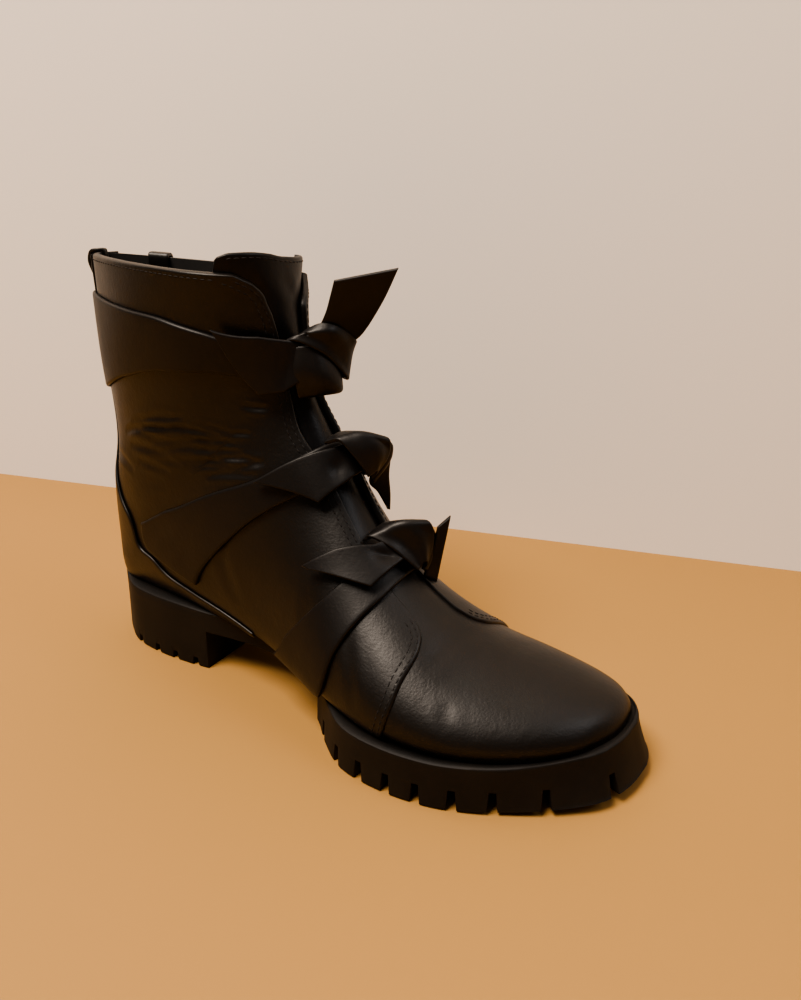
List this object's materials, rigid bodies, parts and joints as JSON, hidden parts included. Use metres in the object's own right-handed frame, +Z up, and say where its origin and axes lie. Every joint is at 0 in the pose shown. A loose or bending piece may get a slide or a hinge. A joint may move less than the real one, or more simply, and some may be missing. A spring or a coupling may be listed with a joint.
{
  "type": "leather ankle boot",
  "caption": "Black leather ankle boot for the right foot with three knotted straps, a curved tongue and a lugged rubber unit sole with a low heel.",
  "frame": {"origin": "On the floor plane under the middle of the heel, in the heel's tread", "axes": "+Z up from the floor; the toe points to -Y and the back of the heel to +Y; +X is the wearer's left, which is the inner (medial) side of this right boot"},
  "size_m": [0.0947, 0.2825, 0.1979],
  "materials": {
    "outsole": "matt moulded black rubber",
    "insole": "matt lining leather",
    "upper": "smooth black leather, soft sheen",
    "tongue": "smooth black leather, soft sheen",
    "heel_counter": "smooth black leather, soft sheen",
    "ankle_strap": "smooth black leather, soft sheen",
    "instep_strap": "smooth black leather, soft sheen",
    "vamp_strap": "smooth black leather, soft sheen",
    "ankle_knot": "smooth black leather, soft sheen",
    "instep_knot": "smooth black leather, soft sheen",
    "vamp_knot": "smooth black leather, soft sheen",
    "pull_loop": "smooth black leather, soft sheen",
    "guard_tab": "smooth black leather, soft sheen"
  },
  "bodies": {
    "root": {"outsole": "outsole", "insole": "insole", "upper": "upper", "tongue": "tongue", "heel_counter": "heel_counter", "ankle_strap": "ankle_strap", "instep_strap": "instep_strap", "vamp_strap": "vamp_strap", "ankle_knot": "ankle_knot", "instep_knot": "instep_knot", "vamp_knot": "vamp_knot", "pull_loop": "pull_loop", "guard_tab": "guard_tab"}
  },
  "joints": []
}
